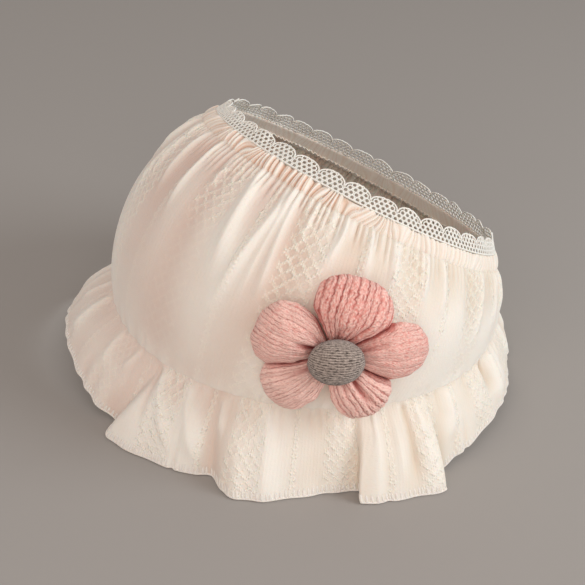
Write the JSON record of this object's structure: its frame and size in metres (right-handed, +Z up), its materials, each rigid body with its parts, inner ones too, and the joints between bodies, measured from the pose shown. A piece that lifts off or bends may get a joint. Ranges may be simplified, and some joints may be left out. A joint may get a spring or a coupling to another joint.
{
  "type": "baby sun hat",
  "caption": "Open-top baby sun hat: a soft cotton crown with a gathered elastic edge, scalloped lace trim, a ruffled brim and a padded cloth flower.",
  "frame": {"origin": "on the surface that the hem rests on, under the middle of the hat", "axes": "+Z up, -Y towards the front of the hat where the crown is tallest, +X towards the wearer's left"},
  "size_m": [0.1991, 0.1969, 0.1094],
  "materials": {
    "cotton_cloth": "soft woven cotton with a self-coloured rib and lattice figure",
    "cotton_lace": "open cotton lace",
    "pink_crepe": "crinkled cotton crepe",
    "grey_knit": "fine rib knit"
  },
  "bodies": {
    "root": {"crown_wall": "cotton_cloth", "top_casing": "cotton_cloth", "lace_edging": "cotton_lace", "brim_ruffle": "cotton_cloth", "petal_top": "pink_crepe", "petal_upper_left": "pink_crepe", "petal_lower_left": "pink_crepe", "petal_lower_right": "pink_crepe", "petal_right": "pink_crepe", "flower_button": "grey_knit"}
  },
  "joints": []
}
